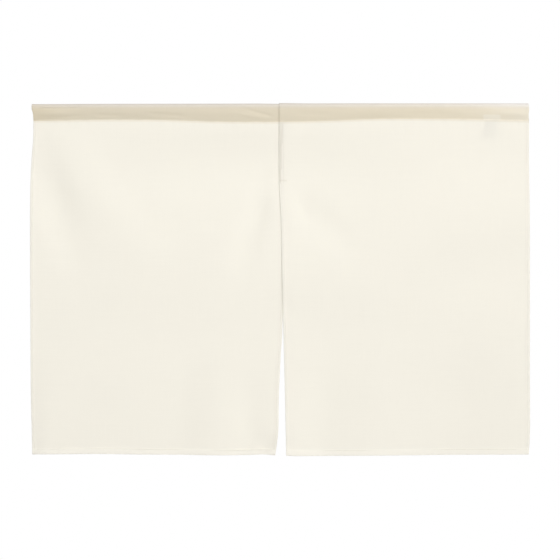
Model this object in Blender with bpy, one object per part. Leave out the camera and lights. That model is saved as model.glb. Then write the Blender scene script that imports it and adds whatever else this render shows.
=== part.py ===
"""Noren curtain: two plain ivory panels that hang straight from an open rod casing.

Metres, +Z up. The front of the cloth faces -Y and +X is the viewer's right.
The origin is the middle of the top fold, in the plane of the stitch line, so the cloth
hangs down to about z = -0.6.
"""
import math
from collections import namedtuple

import bmesh
import bpy

MM = 0.001

# Driving sizes. The curtain is 85 cm wide and 60 cm long.
DROP = 600 * MM
PANEL_WIDTH = 427 * MM
CLOTH_THICK = 1.2 * MM
HEM_THICK = 1.9 * MM
HEM_STEP = 1.0 * MM
SIDE_HEM = 5 * MM
BOTTOM_HEM = 10 * MM
PIECE_GAP = 0.3 * MM

# The centre seam: the right cloth is lapped over the left one in front
LAP_FROM = -1.5 * MM
LAP_TO = 7.0 * MM
LAP_SET = 1.2 * MM
LAP_FADE = 40 * MM
SEAM_LENGTH = 133 * MM

# Grid of each panel and of each casing
PANEL_COLUMNS = 24
PANEL_ROWS = 26
CASING_STATIONS = 24

# The blank label behind the right cloth
LABEL_TOP_AT = 361 * MM
LABEL_SLANT = 6 * MM
LABEL_WIDTH = 29 * MM
LABEL_DROP = 33 * MM
LABEL_THICK = 1.0 * MM
LABEL_CURL = 2.5 * MM
LABEL_COLUMNS = 4
LABEL_ROWS = 6

# How far below the top fold, and the edge's place across, in millimetres
Side = namedtuple("Side", "down across")

OUTER_LEFT = (
    Side(0, -423.0), Side(9, -422.8), Side(18, -420.9), Side(30, -420.5), Side(60, -421.0),
    Side(90, -423.3), Side(135, -425.6), Side(200, -426.2), Side(350, -425.7),
    Side(510, -424.8), Side(560, -423.5), Side(600, -422.8),
)
OUTER_RIGHT = (
    Side(0, 423.1), Side(12, 423.9), Side(18, 423.3), Side(36, 424.6), Side(76, 424.2),
    Side(140, 424.6), Side(200, 425.2), Side(300, 425.9), Side(455, 425.9), Side(560, 426.0),
    Side(600, 423.9),
)
SLIT_OF_LEFT = (
    Side(0, 7.0), Side(135, 7.0), Side(300, 6.0), Side(390, 3.6), Side(437, 0.7),
    Side(506, -2.4), Side(560, -3.2), Side(600, -8.2),
)
SLIT_OF_RIGHT = (
    Side(0, -1.5), Side(135, -1.5), Side(200, 1.8), Side(300, 3.8), Side(437, 6.9),
    Side(506, 8.6), Side(600, 10.4),
)

# The place across, and how far below the top fold an edge runs there, in millimetres
Level = namedtuple("Level", "across down")

STITCH_LINE = (
    Level(-430, 30.2), Level(-300, 28.2), Level(-200, 28.7), Level(-110, 31.3), Level(-20, 31.8),
    Level(70, 30.5), Level(165, 26.8), Level(240, 26.6), Level(320, 27.6), Level(430, 30.2),
)
HEM_LINE = (
    Level(-430, 598.6), Level(-360, 598.0), Level(-300, 597.6), Level(-235, 598.4),
    Level(-155, 598.9), Level(-95, 599.7), Level(-43, 599.6), Level(-12, 599.0), Level(10, 600.9),
    Level(130, 600.6), Level(225, 600.0), Level(290, 599.3), Level(430, 598.5),
)

# The casing's section: how far above its lower edge, as a share of its height, and half its
# depth from front to back there, in millimetres
Rib = namedtuple("Rib", "up half_depth")

CASING_RIBS = (
    Rib(0.00, 1.2), Rib(0.17, 2.4), Rib(0.38, 4.2), Rib(0.56, 5.6), Rib(0.74, 6.3),
    Rib(0.88, 5.4), Rib(0.97, 3.0),
)
CASING_THICK = 1.0 * MM
RIGHT_CASING_SWELL = 1.05

# A soft fold: a line on the cloth from a start to an end, its width to either side of the
# line, and how far its middle stands towards the viewer (a trough is negative), all in mm
Fold = namedtuple("Fold", "start_across start_down end_across end_down half_width rise")

SHARED_FOLDS = (
    # slack under the casing, across the middle and both cloths
    Fold(-410, 110, 300, 102, 38, -4.4),
    # the belly half way down
    Fold(-560, 280, 560, 274, 66, 4.0),
)
LEFT_FOLDS = (
    # drawn from the hung corner towards the middle
    Fold(-430, 10, -326, 340, 23, -3.0),
    Fold(-424, 10, -186, 320, 30, 2.6),
    # drawn from the end of the centre seam
    Fold(-2, 90, -84, 330, 19, -3.4),
    # waves that open towards the hem
    Fold(-440, 400, -440, 760, 26, -3.4),
    Fold(-240, 380, -250, 760, 56, 1.6),
    Fold(-96, 350, -118, 760, 30, 3.4),
    Fold(-36, 430, -40, 760, 20, -2.2),
)
RIGHT_FOLDS = (
    # the broad soft ridge below the label
    Fold(90, 212, 660, 168, 54, 4.8),
    # drawn from the end of the centre seam
    Fold(-40, 108, 176, 300, 22, -2.0),
    # a dimple beside the slit
    Fold(15, 325, 17, 380, 12, -1.6),
    # waves that open towards the hem
    Fold(64, 390, 70, 760, 40, -1.4),
    Fold(310, 350, 240, 760, 66, -4.0),
)
PIN_FADE = 30 * MM

# The free edges of the slit part from each other below the seam
FRONT_EDGE_LIFT = 3.2 * MM
BACK_EDGE_SET = 1.8 * MM
EDGE_WIDTH = 70 * MM
CORNER_CURL = 5.5 * MM
CORNER_FROM = 555 * MM
CORNER_WIDTH = 26 * MM

# Colours, as linear red, green and blue
IVORY = (0.90, 0.87, 0.77)
IVORY_LAYERED = (0.74, 0.68, 0.55)
LABEL_WHITE = (0.84, 0.83, 0.80)


def remove_everything():
    """Start from an empty scene."""
    for thing in list(bpy.data.objects):
        bpy.data.objects.remove(thing, do_unlink=True)


def cloth_material(name, colour, roughness):
    """A plain matt cloth."""
    material = bpy.data.materials.new(name)
    material.use_nodes = True
    shader = material.node_tree.nodes["Principled BSDF"]
    shader.inputs["Base Color"].default_value = (*colour, 1.0)
    shader.inputs["Roughness"].default_value = roughness
    shader.inputs["Metallic"].default_value = 0.0
    material.diffuse_color = (*colour, 1.0)
    return material


def ease(share):
    """Go from 0 to 1 with a soft start and a soft end."""
    share = min(max(share, 0.0), 1.0)
    return share * share * (3.0 - 2.0 * share)


def read_curve(rows, at):
    """Read a smooth curve through a table whose rows hold a place and a value, in mm."""
    if at <= rows[0][0]:
        return rows[0][1] * MM
    for index in range(len(rows) - 1):
        low, high = rows[index], rows[index + 1]
        if at <= high[0]:
            before = rows[max(index - 1, 0)]
            after = rows[min(index + 2, len(rows) - 1)]
            span = high[0] - low[0]
            slope_in = (high[1] - before[1]) / (high[0] - before[0]) * span
            slope_out = (after[1] - low[1]) / (after[0] - low[0]) * span
            t = (at - low[0]) / span
            value = (
                (2 * t**3 - 3 * t**2 + 1) * low[1]
                + (t**3 - 2 * t**2 + t) * slope_in
                + (3 * t**2 - 2 * t**3) * high[1]
                + (t**3 - t**2) * slope_out
            )
            return value * MM
    return rows[-1][1] * MM


def edge_across(side, down):
    """Where a side edge runs, this far below the top fold."""
    return read_curve(side, down / MM)


def line_down(line, across):
    """How far below the top fold a level edge runs at this place across."""
    return read_curve(line, across / MM)


def fold_rise(folds, across, down):
    """How far the folds together carry this point of the cloth towards the viewer."""
    total = 0.0
    for fold in folds:
        run_x = fold.end_across - fold.start_across
        run_z = fold.end_down - fold.start_down
        length = math.hypot(run_x, run_z)
        from_x = across / MM - fold.start_across
        from_z = down / MM - fold.start_down
        along = (from_x * run_x + from_z * run_z) / length
        aside = abs(from_x * run_z - from_z * run_x) / length
        if aside >= fold.half_width * 2 or along <= 0 or along >= length:
            continue
        crest = 0.5 + 0.5 * math.cos(math.pi * aside / (fold.half_width * 2))
        swell = ease(along / (0.45 * length))
        if fold.end_down < DROP / MM:
            swell *= ease((length - along) / (0.45 * length))
        total += fold.rise * crest * swell
    return total * MM


def pinned(across, down):
    """0 along the stitch line, which holds the cloth flat, and 1 a little below it."""
    return ease((down - line_down(STITCH_LINE, across)) / PIN_FADE)


def hang_left(across, down):
    """The left cloth's depth: its middle surface behind the viewer's plane, as +Y."""
    to_seam = LAP_FROM - across
    free = ease(to_seam / LAP_FADE)
    seam_set = LAP_SET * (1.0 - free)
    below_seam = ease((down - SEAM_LENGTH) / (DROP - SEAM_LENGTH))
    near_slit = 1.0 - ease(to_seam / EDGE_WIDTH)
    slit_set = BACK_EDGE_SET * below_seam * near_slit
    to_corner = edge_across(SLIT_OF_LEFT, down) - across
    corner = ease((down - CORNER_FROM) / (DROP - CORNER_FROM)) * (1.0 - ease(to_corner / CORNER_WIDTH))
    folds = fold_rise(SHARED_FOLDS, across, down) + fold_rise(LEFT_FOLDS, across, down) * free
    return seam_set + slit_set + CORNER_CURL * corner - folds * pinned(across, down)


def hang_right(across, down):
    """The right cloth's depth: its lapped edge lies in front and lifts below the seam."""
    from_seam = across - LAP_TO
    free = ease(from_seam / LAP_FADE)
    seam_set = -LAP_SET * (1.0 - free)
    below_seam = ease((down - SEAM_LENGTH) / (DROP - SEAM_LENGTH))
    near_slit = 1.0 - ease(from_seam / EDGE_WIDTH)
    slit_set = -FRONT_EDGE_LIFT * below_seam * near_slit
    own = fold_rise(RIGHT_FOLDS, across, down) * max(free, below_seam)
    return seam_set + slit_set - (fold_rise(SHARED_FOLDS, across, down) + own) * pinned(across, down)


def grid_lines(length, cells, first_hem, last_hem):
    """Where a cloth's grid lines run, as shares of its length, with two at each hem's edge."""
    head = [0.0]
    tail = [1.0]
    if first_hem:
        head += [first_hem / length, (first_hem + HEM_STEP) / length]
    if last_hem:
        tail = [1.0 - (last_hem + HEM_STEP) / length, 1.0 - last_hem / length, 1.0]
    between = cells + 1 - len(head) - len(tail)
    stride = (tail[0] - head[-1]) / (between + 1)
    return head + [head[-1] + stride * (count + 1) for count in range(between)] + tail


def grid_to_sheet(name, columns, rows, place, material):
    """Lay a grid out as a sheet, with no thickness yet.

    place(column, row) gives each grid point, columns from the left and rows from the top,
    and whether it is on a hem. Points that meet, as where a sheet is rolled up, are joined.
    """
    cloth = bmesh.new()
    bmesh.ops.create_grid(cloth, x_segments=columns, y_segments=rows, size=0.5)
    weights = cloth.verts.layers.deform.verify()
    for point in cloth.verts:
        column = round((point.co.x + 0.5) * columns)
        row = round((0.5 - point.co.y) * rows)
        point.co, is_hem = place(column, row)
        point[weights][0] = 1.0 if is_hem else 0.0
    bmesh.ops.remove_doubles(cloth, verts=cloth.verts, dist=MM / 1000)
    mesh = bpy.data.meshes.new(name)
    cloth.to_mesh(mesh)
    cloth.free()
    sheet = bpy.data.objects.new(name, mesh)
    sheet.vertex_groups.new(name="hem")
    bpy.context.scene.collection.objects.link(sheet)
    mesh.materials.append(material)
    mesh.shade_smooth()
    return sheet


def thicken(sheet, thin, thick, offset=0.0):
    """Give a sheet its two faces, thicker where its hem group says so.

    An offset of 0 keeps the sheet in the middle, and -1 puts its wall on the inside.
    """
    wall = sheet.modifiers.new("thickness", "SOLIDIFY")
    wall.thickness = thick
    wall.offset = offset
    wall.use_even_offset = True
    wall.use_rim = True
    wall.vertex_group = "hem"
    wall.thickness_vertex_group = thin / thick


def make_panel(name, left_side, right_side, hang, material):
    """One cloth from just under the stitch line to its hem."""
    columns = grid_lines(PANEL_WIDTH, PANEL_COLUMNS, SIDE_HEM, SIDE_HEM)
    rows = grid_lines(DROP, PANEL_ROWS, 0, BOTTOM_HEM)

    def place(column, row):
        """Put one grid point on the hanging cloth, and say whether it is on a hem."""
        u, v = columns[column], rows[row]
        rough_down = DROP * v
        left, right = edge_across(left_side, rough_down), edge_across(right_side, rough_down)
        across = left + (right - left) * u
        top = line_down(STITCH_LINE, across) + PIECE_GAP
        down = top + (line_down(HEM_LINE, across) - top) * v
        is_hem = column <= 1 or column >= PANEL_COLUMNS - 1 or row >= PANEL_ROWS - 1
        return (across, hang(across, down), -down), is_hem

    sheet = grid_to_sheet(name, PANEL_COLUMNS, PANEL_ROWS, place, material)
    thicken(sheet, CLOTH_THICK, HEM_THICK)
    return sheet


def casing_section():
    """The casing's section as (depth, share of its height) points.

    The points run from the lower edge up the back, over the crown and down the front.
    """
    back = [(rib.half_depth * MM, rib.up) for rib in CASING_RIBS]
    front = [(-depth, up) for depth, up in reversed(back)]
    return back + [(0.0, 1.0)] + front


def make_casing(name, start, end, swell, material):
    """The cloth's top, turned over and stitched down: a tunnel that is open at both ends."""
    section = casing_section()

    def place(column, row):
        """Put one grid point on the tunnel's outer face."""
        share = column / CASING_STATIONS
        depth, up = section[row % len(section)]
        at_crown = edge_across(start, 0) + (edge_across(end, 0) - edge_across(start, 0)) * share
        down = line_down(STITCH_LINE, at_crown) * (1.0 - up)
        left, right = edge_across(start, down), edge_across(end, down)
        return (left + (right - left) * share, depth * swell, -down), False

    tube = grid_to_sheet(name, CASING_STATIONS, len(section), place, material)
    thicken(tube, CASING_THICK, CASING_THICK, offset=-1.0)
    return tube


def make_label(material):
    """The blank label: a small sheet that hangs from the stitch line, behind the right cloth."""
    behind = CLOTH_THICK / 2 + PIECE_GAP + LABEL_THICK / 2

    def place(column, row):
        """Put one grid point just behind the cloth."""
        u, v = column / LABEL_COLUMNS - 0.5, row / LABEL_ROWS
        across = LABEL_TOP_AT + LABEL_WIDTH * u - LABEL_SLANT * v
        down = line_down(STITCH_LINE, across) + PIECE_GAP + LABEL_DROP * v
        depth = hang_right(across, down) + behind + LABEL_CURL * v * v
        return (across, depth, -down), True

    sheet = grid_to_sheet("care_label", LABEL_COLUMNS, LABEL_ROWS, place, material)
    thicken(sheet, LABEL_THICK, LABEL_THICK)
    return sheet


def main():
    """Build the curtain."""
    remove_everything()
    single = cloth_material("ivory_cloth", IVORY, 0.9)
    layered = cloth_material("ivory_cloth_in_layers", IVORY_LAYERED, 0.9)
    label = cloth_material("label_tape", LABEL_WHITE, 0.7)
    left_casing_end = (Side(0, (LAP_FROM - PIECE_GAP) / MM),)
    right_casing_start = (Side(0, LAP_FROM / MM),)
    make_panel("panel_left", OUTER_LEFT, SLIT_OF_LEFT, hang_left, single)
    make_panel("panel_right", SLIT_OF_RIGHT, OUTER_RIGHT, hang_right, single)
    make_casing("casing_left", OUTER_LEFT, left_casing_end, 1.0, layered)
    make_casing("casing_right", right_casing_start, OUTER_RIGHT, RIGHT_CASING_SWELL, layered)
    make_label(label)


main()
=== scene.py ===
# %% [markdown]
# # A plain noren curtain
#
# A noren is a short curtain for a doorway. This one is two lengths of ivory plain-weave cloth.
# The right cloth is lapped over the left one and sewn to it at the top, and below that a slit
# lets people through. The top of each cloth is turned over to the back and stitched down, which
# leaves a casing for a slim rod.
#
# The lesson makes cloth the way a sewing room does: each cloth is one grid of faces, as it was
# cut, and the grid is led round every turn that the real cloth takes.

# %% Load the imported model
import math
from collections import namedtuple

import bmesh
import bpy
from mathutils import Matrix, Vector


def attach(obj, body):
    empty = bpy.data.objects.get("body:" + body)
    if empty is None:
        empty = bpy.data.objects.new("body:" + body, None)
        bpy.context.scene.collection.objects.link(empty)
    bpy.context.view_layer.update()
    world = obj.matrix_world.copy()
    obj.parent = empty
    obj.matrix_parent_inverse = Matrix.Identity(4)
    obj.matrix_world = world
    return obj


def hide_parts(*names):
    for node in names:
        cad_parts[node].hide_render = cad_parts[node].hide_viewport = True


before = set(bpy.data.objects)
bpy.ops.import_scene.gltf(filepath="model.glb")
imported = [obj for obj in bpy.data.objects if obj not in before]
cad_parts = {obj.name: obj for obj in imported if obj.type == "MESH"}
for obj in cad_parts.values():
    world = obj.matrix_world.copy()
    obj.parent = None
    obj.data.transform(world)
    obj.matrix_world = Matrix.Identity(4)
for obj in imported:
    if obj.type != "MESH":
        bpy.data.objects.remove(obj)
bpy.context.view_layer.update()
MM = 0.001
print("solids to dress:", sorted(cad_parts))

# %% [markdown]
# ## The camera
#
# The photograph looks straight at the cloth from far away. A long lens a few metres off does the
# same. Its length follows from how wide the picture is on the cloth, so the render has the
# photograph's scale: the curtain is 85 cm wide and covers 499 of the picture's 560 pixels.

# %% Camera
PICTURE_SIDE = 560
PIXEL_ON_CLOTH = 1.705 * MM
MIDDLE_PIXEL = 280.1
TOP_FOLD_PIXEL = 103.4
CAMERA_AWAY = 3.4


def make_camera():
    """Put a level camera straight in front of the cloth."""
    lens = bpy.data.cameras.new("camera")
    lens.sensor_width = 36.0
    lens.lens = lens.sensor_width * CAMERA_AWAY / (PICTURE_SIDE * PIXEL_ON_CLOTH)
    camera = bpy.data.objects.new("camera", lens)
    across = (PICTURE_SIDE / 2 - MIDDLE_PIXEL) * PIXEL_ON_CLOTH
    down = (PICTURE_SIDE / 2 - TOP_FOLD_PIXEL) * PIXEL_ON_CLOTH
    camera.location = (across, -CAMERA_AWAY, -down)
    camera.rotation_euler = (math.pi / 2, 0.0, 0.0)
    bpy.context.scene.collection.objects.link(camera)
    bpy.context.scene.camera = camera
    return camera


camera = make_camera()
print("lens", round(camera.data.lens, 1), "mm at", CAMERA_AWAY, "m")

# %% [markdown]
# ## The studio
#
# The ground of the photograph is pure white. A surround that is white to the eye but gives a
# gentler light keeps the ground white without washing the folds out. A pale floor lies well below
# the hem, out of the front view, so that the other views have something under the curtain.

# %% Surround and floor
SKY_LIGHT = 0.22
SKY_SEEN = 1.0
FLOOR_DOWN = 2.0
FLOOR_REACH = 6.0
FLOOR_WHITE = (0.97, 0.97, 0.97, 1.0)
FLOOR_ROUGH = 0.9
PURE_WHITE = (1.0, 1.0, 1.0, 1.0)


def make_surround():
    """A surround that looks white and lights the cloth evenly."""
    world = bpy.data.worlds.new("surround")
    world.use_nodes = True
    tree = world.node_tree
    light = tree.nodes["Background"]
    light.inputs["Color"].default_value = PURE_WHITE
    light.inputs["Strength"].default_value = SKY_LIGHT
    seen = tree.nodes.new("ShaderNodeBackground")
    seen.inputs["Color"].default_value = PURE_WHITE
    seen.inputs["Strength"].default_value = SKY_SEEN
    ray = tree.nodes.new("ShaderNodeLightPath")
    mix = tree.nodes.new("ShaderNodeMixShader")
    tree.links.new(ray.outputs["Is Camera Ray"], mix.inputs[0])
    tree.links.new(light.outputs[0], mix.inputs[1])
    tree.links.new(seen.outputs[0], mix.inputs[2])
    tree.links.new(mix.outputs[0], tree.nodes["World Output"].inputs["Surface"])
    bpy.context.scene.world = world


def make_floor_paint():
    """Pale matt paint."""
    material = bpy.data.materials.new("floor_paint")
    material.use_nodes = True
    shader = material.node_tree.nodes["Principled BSDF"]
    shader.inputs["Base Color"].default_value = FLOOR_WHITE
    shader.inputs["Roughness"].default_value = FLOOR_ROUGH
    return material


def make_floor():
    """A plain pale floor."""
    flat = bmesh.new()
    lowered = Matrix.Translation((0, 0, -FLOOR_DOWN))
    bmesh.ops.create_circle(flat, cap_ends=True, segments=96, radius=FLOOR_REACH, matrix=lowered)
    mesh = bpy.data.meshes.new("floor")
    flat.to_mesh(mesh)
    flat.free()
    mesh.materials.append(make_floor_paint())
    floor = bpy.data.objects.new("floor", mesh)
    bpy.context.scene.collection.objects.link(floor)
    return floor


make_surround()
floor = make_floor()
print("floor", FLOOR_DOWN, "m below the top fold")

# %% [markdown]
# ## The light
#
# Cloth this plain shows its folds only by small changes of light, so the light is soft but not
# dead even. A far window, high on the right, gives the folds their shade without getting weaker
# from one side of the cloth to the other. A low, wide panel in front makes the cloth brighter near
# its top, and one behind lets a little light through the cloth.

# %% Light panels
WINDOW_FROM = (0.9, -1.5, 1.5)
WINDOW_POWER = 2.135
WINDOW_SOFTNESS = math.radians(60)

# Where a panel hangs, what it looks at, its width and height in metres, and its power in watts
LightPanel = namedtuple("LightPanel", "name at looks_at wide high power")

LIGHT_PANELS = (
    LightPanel("front", (0.1, -1.5, 0.22), (0.0, 0.0, -0.10), 3.2, 0.5, 12.2),
    LightPanel("back", (0.4, 2.4, 0.6), (0.0, 0.0, -0.30), 2.4, 1.6, 57.0),
)


def hang_lamp(name, lamp, at, looks_at):
    """Put a lamp in its place and turn it to what it looks at."""
    holder = bpy.data.objects.new(name, lamp)
    holder.location = at
    aim = Vector(looks_at) - Vector(at)
    holder.rotation_euler = aim.to_track_quat("-Z", "Y").to_euler()
    holder.visible_camera = False
    bpy.context.scene.collection.objects.link(holder)


def make_window():
    """Soft light from far away, so all of the cloth gets the same."""
    lamp = bpy.data.lights.new("window", "SUN")
    lamp.energy = WINDOW_POWER
    lamp.angle = WINDOW_SOFTNESS
    hang_lamp("window", lamp, WINDOW_FROM, (0.0, 0.0, 0.0))


def make_panel(panel):
    """One broad panel of light."""
    lamp = bpy.data.lights.new(panel.name, "AREA")
    lamp.shape = "RECTANGLE"
    lamp.size = panel.wide
    lamp.size_y = panel.high
    lamp.energy = panel.power
    hang_lamp(panel.name, lamp, panel.at, panel.looks_at)


make_window()
for panel in LIGHT_PANELS:
    make_panel(panel)
bpy.context.scene.view_settings.view_transform = "Standard"
print("lights: window,", ", ".join(panel.name for panel in LIGHT_PANELS))

# %% [markdown]
# ## The outline as it hangs
#
# Cloth never hangs quite straight. Short tables say where each edge runs: the two outer sides,
# the two edges of the slit, the stitch line under the casing and the hem. A smooth curve through
# a few rows is enough, and the same curves shaped the solids, so the cloth lies on them. Only the
# slight dip of the top fold is the scene's own.

# %% Edges
DROP = 600 * MM

# How far below the top fold, and the edge's place across, in millimetres
Side = namedtuple("Side", "down across")

OUTER_LEFT = (
    Side(0, -423.0), Side(9, -422.8), Side(18, -420.9), Side(30, -420.5), Side(60, -421.0),
    Side(90, -423.3), Side(135, -425.6), Side(200, -426.2), Side(350, -425.7),
    Side(510, -424.8), Side(560, -423.5), Side(600, -422.8),
)
OUTER_RIGHT = (
    Side(0, 423.1), Side(12, 423.9), Side(18, 423.3), Side(36, 424.6), Side(76, 424.2),
    Side(140, 424.6), Side(200, 425.2), Side(300, 425.9), Side(455, 425.9), Side(560, 426.0),
    Side(600, 423.9),
)
SLIT_OF_LEFT = (
    Side(0, 7.0), Side(135, 7.0), Side(300, 6.0), Side(390, 3.6), Side(437, 0.7),
    Side(506, -2.4), Side(560, -3.2), Side(600, -8.2),
)
SLIT_OF_RIGHT = (
    Side(0, -1.5), Side(135, -1.5), Side(200, 1.8), Side(300, 3.8), Side(437, 6.9),
    Side(506, 8.6), Side(600, 10.4),
)

# The place across, and how far below the top fold an edge runs there, in millimetres
Level = namedtuple("Level", "across down")

STITCH_LINE = (
    Level(-430, 30.2), Level(-300, 28.2), Level(-200, 28.7), Level(-110, 31.3), Level(-20, 31.8),
    Level(70, 30.5), Level(165, 26.8), Level(240, 26.6), Level(320, 27.6), Level(430, 30.2),
)
HEM_LINE = (
    Level(-430, 598.6), Level(-360, 598.0), Level(-300, 597.6), Level(-235, 598.4),
    Level(-155, 598.9), Level(-95, 599.7), Level(-43, 599.6), Level(-12, 599.0), Level(10, 600.9),
    Level(130, 600.6), Level(225, 600.0), Level(290, 599.3), Level(430, 598.5),
)

# How far the top fold lies below its own highest place
TOP_DIP = (Level(-430, 1.5), Level(-300, 0.9), Level(-120, 0.6), Level(0, 0.2), Level(120, 0.0))


def ease(share):
    """Go from 0 to 1 with a soft start and a soft end."""
    share = min(max(share, 0.0), 1.0)
    return share * share * (3.0 - 2.0 * share)


def read_curve(rows, at):
    """Read a smooth curve through a table whose rows hold a place and a value, in mm."""
    if at <= rows[0][0]:
        return rows[0][1] * MM
    for index in range(len(rows) - 1):
        low, high = rows[index], rows[index + 1]
        if at <= high[0]:
            before = rows[max(index - 1, 0)]
            after = rows[min(index + 2, len(rows) - 1)]
            span = high[0] - low[0]
            slope_in = (high[1] - before[1]) / (high[0] - before[0]) * span
            slope_out = (after[1] - low[1]) / (after[0] - low[0]) * span
            t = (at - low[0]) / span
            value = (
                (2 * t**3 - 3 * t**2 + 1) * low[1]
                + (t**3 - 2 * t**2 + t) * slope_in
                + (3 * t**2 - 2 * t**3) * high[1]
                + (t**3 - t**2) * slope_out
            )
            return value * MM
    return rows[-1][1] * MM


def edge_across(side, down):
    """Where a side edge runs, this far below the top fold."""
    return read_curve(side, down / MM)


def line_down(line, across):
    """How far below the top fold a level edge runs at this place across."""
    return read_curve(line, across / MM)


slit_at_hem = edge_across(SLIT_OF_RIGHT, DROP) - edge_across(SLIT_OF_LEFT, DROP)
print("the slit is", round(slit_at_hem / MM, 1), "mm wide at the hem")

# %% [markdown]
# ## The folds
#
# A fold in hanging cloth is a soft ridge or trough. It starts where something pulls, here the
# hung corners and the end of the centre seam, or it opens towards the free hem. Each one is a
# line with a width and a height. A simulation would invent its own folds, while placed ones can
# follow those of the real cloth. The broad ones are those of the solids, and the fine ones only
# show in low light.

# %% Fold tables
# A line on the cloth from a start to an end, its width to either side of the line, and how far
# its middle stands towards the viewer (a trough is negative), all in millimetres
Fold = namedtuple("Fold", "start_across start_down end_across end_down half_width rise")

SHARED_FOLDS = (
    # slack under the casing, across the middle and both cloths
    Fold(-410, 110, 300, 102, 38, -4.4),
    # the belly half way down
    Fold(-560, 280, 560, 274, 66, 4.0),
)
LEFT_FOLDS = (
    # drawn from the hung corner towards the middle
    Fold(-430, 10, -326, 340, 23, -3.0),
    Fold(-424, 10, -186, 320, 30, 2.6),
    # drawn from the end of the centre seam
    Fold(-2, 90, -84, 330, 19, -3.4),
    # waves that open towards the hem
    Fold(-440, 400, -440, 760, 26, -3.4),
    Fold(-240, 380, -250, 760, 56, 1.6),
    Fold(-96, 350, -118, 760, 30, 3.4),
    Fold(-36, 430, -40, 760, 20, -2.2),
)
RIGHT_FOLDS = (
    # the broad soft ridge below the label
    Fold(90, 212, 660, 168, 54, 4.8),
    # drawn from the end of the centre seam
    Fold(-40, 108, 176, 300, 22, -2.0),
    # a dimple beside the slit
    Fold(15, 325, 17, 380, 12, -1.6),
    # waves that open towards the hem
    Fold(64, 390, 70, 760, 40, -1.4),
    Fold(310, 350, 240, 760, 66, -4.0),
)
LEFT_FINE_FOLDS = (
    # drag lines beside the end of the centre seam
    Fold(-6, 136, -44, 226, 7, -0.7),
    Fold(-10, 128, -62, 178, 6, 0.35),
    # soft creases lower down
    Fold(-190, 352, -196, 412, 9, -0.4),
    Fold(-118, 430, -124, 540, 10, -0.4),
    Fold(-60, 520, -22, 596, 9, -0.3),
)
RIGHT_FINE_FOLDS = (
    # drag lines beside the end of the centre seam
    Fold(14, 134, 50, 214, 7, -0.5),
    Fold(20, 126, 74, 176, 6, 0.35),
    # the edge rolls back a little half way down the slit
    Fold(4, 300, 6, 404, 6, -0.9),
    # soft creases lower down
    Fold(300, 452, 318, 560, 12, -0.4),
    Fold(40, 560, 70, 596, 8, -0.25),
)


# The share of a fold's length over which it rises from its start or sinks to its end
FOLD_SWELL = 0.45


def crest_at(fold, aside):
    """A fold's cross-section: 1 on its line, falling softly to 0 at its foot."""
    foot = fold.half_width * 2
    return 0.5 + 0.5 * math.cos(math.pi * aside / foot) if aside < foot else 0.0


def fold_rise(folds, across, down):
    """How far the folds together carry this point of the cloth towards the viewer."""
    total = 0.0
    for fold in folds:
        run_x = fold.end_across - fold.start_across
        run_z = fold.end_down - fold.start_down
        length = math.hypot(run_x, run_z)
        from_x = across / MM - fold.start_across
        from_z = down / MM - fold.start_down
        along = (from_x * run_x + from_z * run_z) / length
        aside = abs(from_x * run_z - from_z * run_x) / length
        if not 0 < along < length:
            continue
        swell = ease(along / (FOLD_SWELL * length))
        if fold.end_down < DROP / MM:
            swell *= ease((length - along) / (FOLD_SWELL * length))
        total += fold.rise * crest_at(fold, aside) * swell
    return total * MM


all_folds = SHARED_FOLDS + LEFT_FOLDS + RIGHT_FOLDS + LEFT_FINE_FOLDS + RIGHT_FINE_FOLDS
print("folds placed:", len(all_folds))

# %% [markdown]
# ## How deep each cloth hangs
#
# The two cloths share a plane, but where they lap the right one lies in front. Below the seam the
# free edges part, slowly at first: the front edge stands forward a little, the back one falls away,
# and the left cloth's corner curls to the back.

# %% Depth of the cloths
LAP_FROM = -1.5 * MM
LAP_TO = 7.0 * MM
LAP_SET = 0.55 * MM
LAP_FADE = 40 * MM
SEAM_LENGTH = 133 * MM
FRONT_EDGE_LIFT = 3.2 * MM
BACK_EDGE_SET = 1.8 * MM
EDGE_WIDTH = 70 * MM
PIN_FADE = 30 * MM
CORNER_CURL = 5.5 * MM
CORNER_FROM = 555 * MM
CORNER_WIDTH = 26 * MM


def from_lap(across):
    """How far this place is from the strip where the two cloths lap."""
    return max(LAP_FROM - across, across - LAP_TO, 0.0)


def pinned(across, down):
    """0 along the stitch line, which holds the cloth flat, and 1 a little below it."""
    return ease((down - line_down(STITCH_LINE, across)) / PIN_FADE)


def below_seam(down):
    """0 down to the end of the seam, rising to 1 at the hem."""
    return ease((down - SEAM_LENGTH) / (DROP - SEAM_LENGTH))


def parting(away, down):
    """How strongly a free edge stands apart, this far away from the lap."""
    return below_seam(down)**2 * (1.0 - ease(away / EDGE_WIDTH))


def all_folds_at(across, down, own):
    """The shared folds and a cloth's own ones together, held flat along the stitch line."""
    return (fold_rise(SHARED_FOLDS, across, down) + own) * pinned(across, down)


def hang_left(across, down):
    """The left cloth's depth, as +Y behind the plane of the stitch line."""
    to_seam = LAP_FROM - across
    free = ease(to_seam / LAP_FADE)
    to_corner = edge_across(SLIT_OF_LEFT, down) - across
    corner = ease((down - CORNER_FROM) / (DROP - CORNER_FROM)) * (1.0 - ease(to_corner / CORNER_WIDTH))
    own = fold_rise(LEFT_FOLDS + LEFT_FINE_FOLDS, across, down) * free
    edge = LAP_SET * (1.0 - free) + BACK_EDGE_SET * parting(to_seam, down)
    return edge + CORNER_CURL * corner - all_folds_at(across, down, own)


def hang_right(across, down):
    """The right cloth's depth, as +Y behind the plane of the stitch line."""
    from_seam = across - LAP_TO
    free = ease(from_seam / LAP_FADE)
    own = fold_rise(RIGHT_FOLDS + RIGHT_FINE_FOLDS, across, down) * max(free, below_seam(down))
    edge = -LAP_SET * (1.0 - free) - FRONT_EDGE_LIFT * parting(from_seam, down)
    return edge - all_folds_at(across, down, own)


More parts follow.
